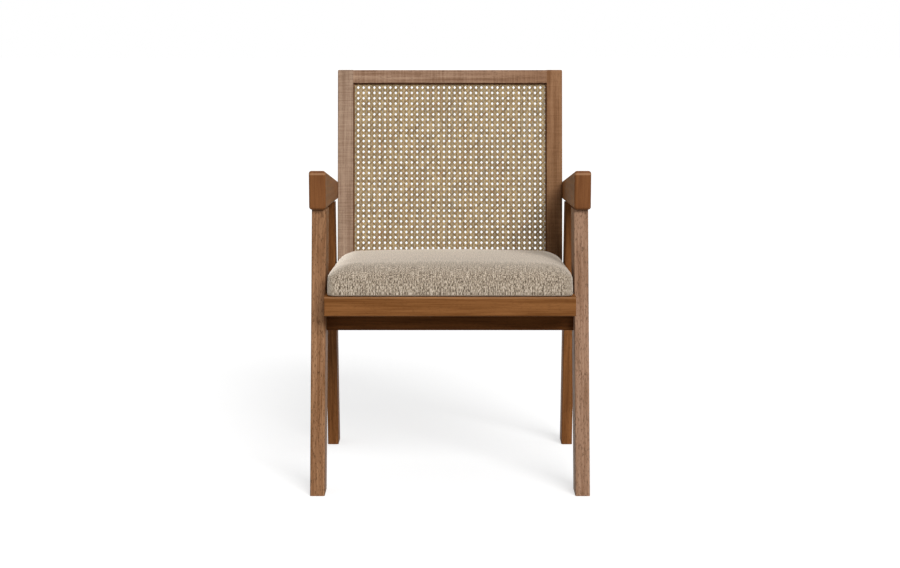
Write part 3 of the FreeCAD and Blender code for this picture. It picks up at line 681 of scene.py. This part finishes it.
def padded_form(box):
    """Turn the box's points into the pad: crowded towards the edges, rolled, crowned and cornered."""
    spread = (1.0 - EDGE_CROWDING) * box[:, :2] + EDGE_CROWDING * np.sin(box[:, :2] * math.pi / 2)
    plan = PAD_LOW + (spread + 1.0) / 2.0 * (PAD_HIGH - PAD_LOW)
    from_edge = np.minimum(plan - PAD_LOW, PAD_HIGH - plan)
    tip = 1.0 - np.clip(from_edge / ROLL_REACH, 0.0, 1.0)
    roll = np.prod(np.sqrt(1.0 - tip ** 2), axis=1)
    bow = np.prod(1.0 - spread ** 2, axis=1)
    top = PAD_WALL + PAD_RISE * roll + PAD_CROWN * bow
    inner = np.clip(plan, PAD_LOW + PAD_CORNER, PAD_HIGH - PAD_CORNER)
    reach = np.linalg.norm(plan - inner, axis=1, keepdims=True) / PAD_CORNER
    plan = inner + (plan - inner) / np.maximum(reach, 1.0)
    height = ((box[:, 2] + 1.0) / 2.0) ** FOOT_CROWDING * top
    under = np.clip(1.0 - height / PAD_TUCK, 0.0, 1.0)
    tucked = 1.0 - PAD_UNDERCUT * (1.0 - np.sqrt(1.0 - under ** 2)) / PAD_HIGH[0]
    middle = (PAD_LOW + PAD_HIGH) / 2.0
    return np.column_stack([middle + (plan - middle) * tucked[:, None], height])


cushion = new_object("seat_cushion", fine_box("seat_cushion", PAD_CELLS))
set_points(cushion.data, padded_form(points_of(cushion.data)))
print("cushion points:", len(cushion.data.vertices))

# %% [markdown]
# A form like that would look turned from wood. A short cloth simulation, with the underside and the
# lower sides held, blows the rest up a little, as foam does under cloth. A soft limit keeps that under
# a millimetre.

# %% Seat simulation
HELD_BELOW = 0.026
FRAMES, MOST_MOVE = 20, 0.001
CLOTH = {"quality": 6, "mass": 0.2, "tension_stiffness": 20.0, "compression_stiffness": 20.0,
         "shear_stiffness": 8.0, "bending_stiffness": 12.0, "use_pressure": True,
         "uniform_pressure_force": 4.0, "vertex_group_mass": "held"}


def blown_up(pad):
    """Blow the pad up as cloth that is held low down, and keep each point within a soft limit."""
    start = points_of(pad.data)
    held = pad.vertex_groups.new(name="held")
    held.add([int(i) for i in np.nonzero(start[:, 2] < HELD_BELOW)[0]], 1.0, "REPLACE")
    cloth = pad.modifiers.new("cloth", "CLOTH")
    for name, value in CLOTH.items():
        setattr(cloth.settings, name, value)
    cloth.settings.effector_weights.gravity = 0.0
    cloth.point_cache.frame_start = 1
    cloth.point_cache.frame_end = FRAMES
    for step in range(1, FRAMES + 1):
        bpy.context.scene.frame_set(step)
    graph = bpy.context.evaluated_depsgraph_get()
    mesh = bpy.data.meshes.new_from_object(pad.evaluated_get(graph))
    moved = points_of(mesh) - start
    bpy.data.meshes.remove(mesh)
    pad.modifiers.clear()
    pad.vertex_groups.clear()
    bpy.context.scene.frame_set(1)
    far = np.linalg.norm(moved, axis=1, keepdims=True)
    set_points(pad.data, start + moved * (MOST_MOVE / (MOST_MOVE + far)))
    return far.max()


print("furthest point before the limit:", round(float(blown_up(cushion)), 4))

# %% [markdown]
# The cloth's threads run from front to rear over the pad and down its sides, as one sheet laid over
# it. A point's place on that sheet is its place from above, carried outwards by how far it lies below
# the top. The finish reads this from an attribute, so the weave follows the roll of the edge.

# %% Seat surface
ROOM_LOW = np.array([-0.2560, 0.0010, 0.0])
ROOM_HIGH = np.array([0.2560, 0.4625, 0.0800])
MOUTH_LOW, MOUTH_HIGH = (-0.2280, 0.0290), (0.2280, 0.4344)
MOUTH_DEPTH, MOUTH_SLOPE = 0.0017, 0.0004
FLAT_BELOW, FACING_DOWN = 0.0005, -0.9


def settled(pad):
    """Keep the pad in its room and make its faces finer."""
    set_points(pad.data, np.clip(points_of(pad.data), ROOM_LOW, ROOM_HIGH))
    finer = pad.modifiers.new("finer", "SUBSURF")
    finer.levels = 1
    finer.render_levels = 1
    return plain_mesh(pad, "seat_cushion")


def open_below(mesh):
    """Set the underside back inside the turned-in cloth, where the dust cloth lies."""
    form = bmesh.new()
    form.from_mesh(mesh)
    inside = []
    for face in form.faces:
        x, y, z = face.calc_center_median()
        if (face.normal.z < FACING_DOWN and z < FLAT_BELOW and MOUTH_LOW[0] < x < MOUTH_HIGH[0]
                and MOUTH_LOW[1] < y < MOUTH_HIGH[1]):
            inside.append(face)
    bmesh.ops.inset_region(form, faces=inside, thickness=MOUTH_SLOPE, depth=-MOUTH_DEPTH,
                           use_even_offset=True)
    form.to_mesh(mesh)
    form.free()
    return len(inside)


def lay_cloth(mesh):
    """Store each point's place on the flat cloth."""
    points = points_of(mesh)
    normals = np.empty(len(mesh.vertices) * 3, np.float32)
    mesh.vertices.foreach_get("normal", normals)
    normals = normals.reshape(-1, 3)
    drop = np.maximum(points[:, 2].max() - points[:, 2], 0.0)[:, None]
    flat = points[:, :2] + normals[:, :2] * drop
    cloth = mesh.attributes.new("cloth", "FLOAT_VECTOR", "POINT")
    cloth.data.foreach_set("vector", np.column_stack([flat, np.zeros(len(flat))]).astype(np.float32).ravel())


cushion = settled(cushion)
print("faces set back below:", open_below(cushion.data))
lay_cloth(cushion.data)
cushion.data.transform(seat_place)
cushion.data.polygons.foreach_set("use_smooth", [True] * len(cushion.data.polygons))
low = points_of(cushion.data).min(axis=0)
high = points_of(cushion.data).max(axis=0)
print("cushion from", low.round(4), "to", high.round(4), "faces", len(cushion.data.polygons))

# %% [markdown]
# The cloth is a heathered weave: pale threads with darker and lighter fibres spun in, so it looks
# flecked from close by and even from further away. Flecks longer along the warp than across it, a finer
# set across them, and a thread bump under both give that.

# %% Seat cloth
WARP, WEFT, FUZZ, SLUB = (0.0017, 0.0062), (0.0050, 0.0022), (0.0012, 0.0016), (0.0017, 0.0400)
WEAVE, WEAVE_WOBBLE = (0.0105, 0.0105), 1.5


def heather():
    """Flecked weave, with the flecks drawn out along the threads."""
    material, wire, shader = new_material("heathered_cloth")
    sheet = wire.node("ShaderNodeAttribute", {"attribute_name": "cloth"}, out="Vector")

    def threads(size):
        return sheet.stretched((*size, 1.0))

    def waves(direction):
        return wire.node("ShaderNodeTexWave", {"wave_type": "BANDS", "bands_direction": direction},
                         {"Vector": threads(WEAVE), "Scale": 1.0, "Distortion": WEAVE_WOBBLE})

    warp = threads(WARP).noise(1.0, 2.0, 0.55)
    weft = threads(WEFT).noise(1.0, 2.0, 0.55)
    fuzz = threads(FUZZ).noise(1.0, 2.0, 0.6)
    slub = threads(SLUB).noise(1.0, 1.0)
    fleck = warp * 0.50 + weft * 0.08 + fuzz * 0.20 + slub * 0.22
    pale = fleck.between(0.43, 0.53).mixed(ink(84, 71, 57), ink(172, 156, 136))
    shade = fleck.between(0.51, 0.60).mixed(pale, ink(216, 202, 184))
    bump = (fleck * 1.5 + waves("X") * 0.25 + waves("Y") * 0.25).relief(0.4, 0.0008)
    feed(wire, shader, Base_Color=shade, Roughness=0.8 + fuzz * 0.15, Normal=bump,
         Specular_IOR_Level=0.12, Sheen_Weight=1.0, Sheen_Roughness=0.5,
         Sheen_Tint=(1.0, 0.90, 0.78, 1.0))
    return material


cushion.data.materials.clear()
cushion.data.materials.append(heather())
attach(cushion, "root")
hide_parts("seat_cover", "seat_foam")

# %% [markdown]
# ## Dust cloth
# A thin black cloth closes the seat from below. It is pulled flat and stapled at its edges, so it is a
# plain sheet that hangs down by a millimetre in the middle. A flat plate would do for the eye from far
# off, but the slack makes the light run over it unevenly, as it does on such cloth.

# %% Dust cloth
DUST_LOW, DUST_HIGH = np.array([-0.2274, 0.0296]), np.array([0.2274, 0.4338])
DUST_TOP, DUST_THICKNESS, DUST_SLACK = 0.0015, 0.0008, 0.0012
DUST_CELLS = (36, 32, 1)


def dust_form(box):
    """A thin flat sheet with a little slack in the middle."""
    plan = DUST_LOW + (box[:, :2] + 1.0) / 2.0 * (DUST_HIGH - DUST_LOW)
    slack = DUST_SLACK * np.prod(1.0 - box[:, :2] ** 2, axis=1)
    return np.column_stack([plan, DUST_TOP - DUST_THICKNESS * (1.0 - box[:, 2]) / 2.0 - slack])


def felted():
    """Black bonded fibre: matt, with a fine tangle of paler fibres."""
    material, wire, shader = new_material("black_dust_cloth")
    place = wire.node("ShaderNodeTexCoord", out="Object")
    tangle = place.noise(900.0, 3.0, 0.65)
    cloud = place.noise(60.0, 2.0)
    feed(wire, shader, Base_Color=(tangle * 0.6 + cloud * 0.4).mixed(ink(16, 16, 17), ink(52, 51, 50)),
         Roughness=0.85 + tangle * 0.1, Normal=tangle.relief(0.3, 0.0003), Specular_IOR_Level=0.2)
    return material


dust_mesh = fine_box("dust_cloth_sheet", DUST_CELLS)
set_points(dust_mesh, dust_form(points_of(dust_mesh)))
dust_mesh.transform(seat_place)
dust_mesh.materials.append(felted())
dust_cloth = new_object("dust_cloth_sheet", dust_mesh)
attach(dust_cloth, "root")
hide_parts("dust_cover")
print("dust cloth cut to", (DUST_HIGH - DUST_LOW).round(4))
